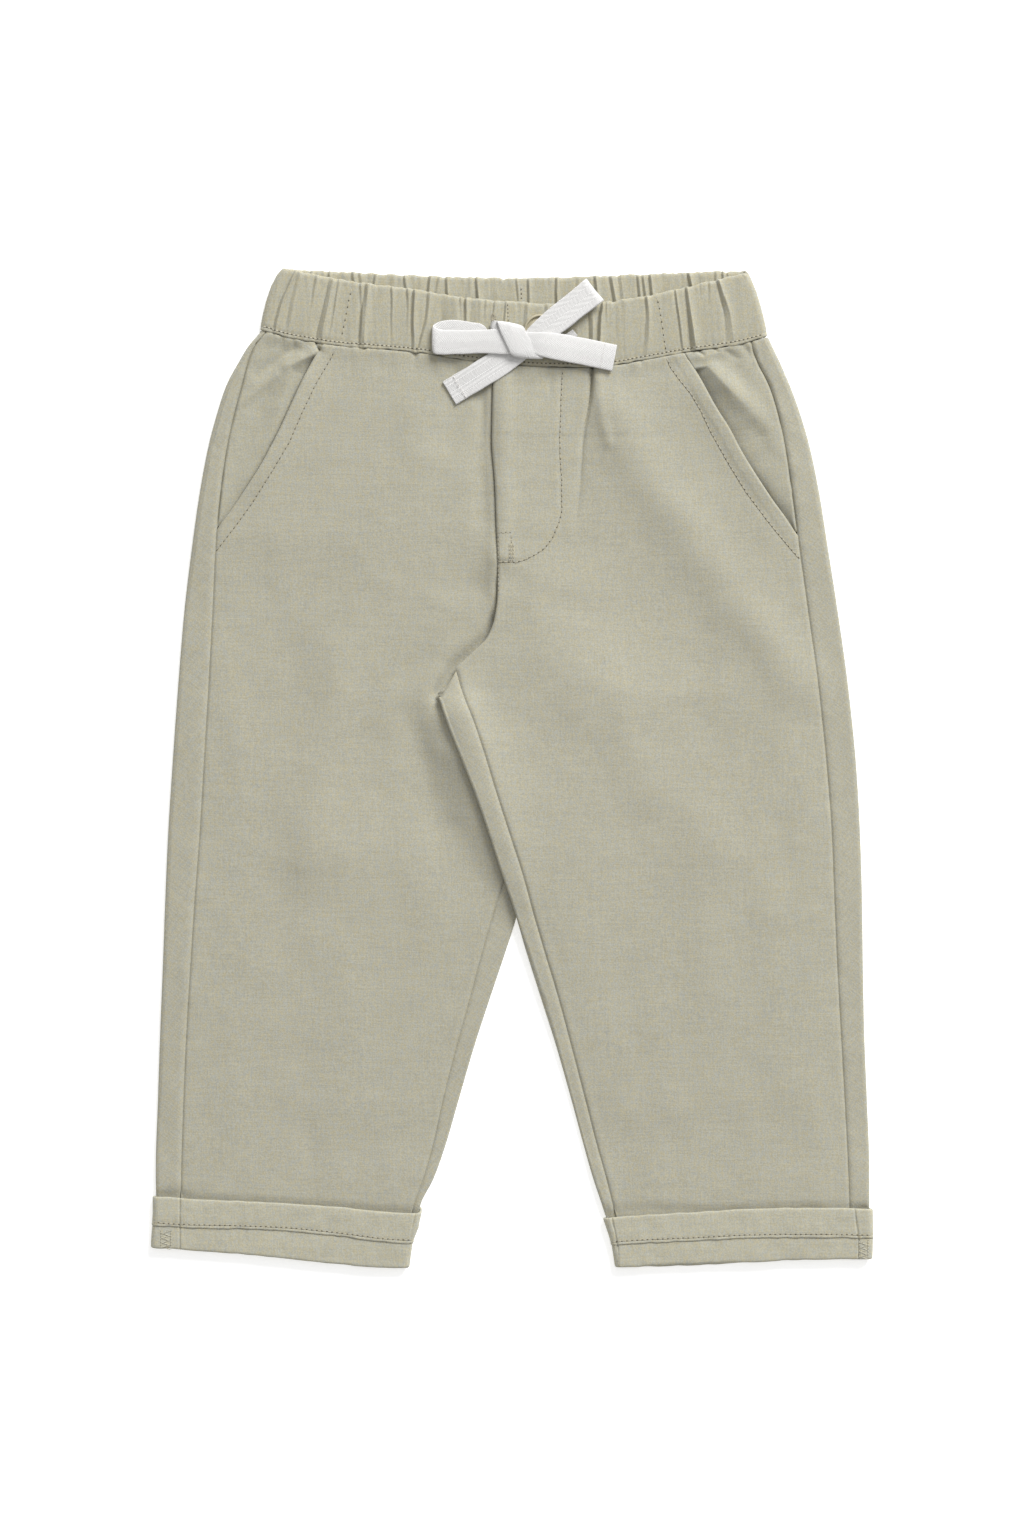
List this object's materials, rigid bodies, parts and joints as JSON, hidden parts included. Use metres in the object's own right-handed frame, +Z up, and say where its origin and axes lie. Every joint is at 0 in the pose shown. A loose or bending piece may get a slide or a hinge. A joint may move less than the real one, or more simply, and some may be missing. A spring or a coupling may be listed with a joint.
{
  "type": "drawstring trousers",
  "caption": "toddler's loose linen pull-on trousers laid flat, with a gathered elastic waist, tape drawstring tied in a bow, mock fly, slanted front pockets and turned-up hems",
  "frame": {"origin": "middle of the bottom of the trousers' box, on the face they lie on", "axes": "+X to the wearer's left, +Y to the waist, +Z up out of the front of the trousers"},
  "size_m": [0.3257, 0.45, 0.0132],
  "materials": {
    "linen": "matt plain-weave linen in a pale sage khaki",
    "tape": "matt off-white herringbone cotton tape",
    "button": "satin khaki resin"
  },
  "bodies": {
    "root": {"front_right": "linen", "front_left": "linen", "back_right": "linen", "back_left": "linen", "pocket_facing_right": "linen", "pocket_facing_left": "linen", "waistband_front": "linen", "waistband_back": "linen", "turn_up_right": "linen", "turn_up_left": "linen", "button": "button", "drawstring_left_lead": "tape", "drawstring_right_lead": "tape", "drawstring_left_loop": "tape", "drawstring_right_loop": "tape", "drawstring_left_tail": "tape", "drawstring_right_tail": "tape", "drawstring_knot": "tape"}
  },
  "joints": []
}
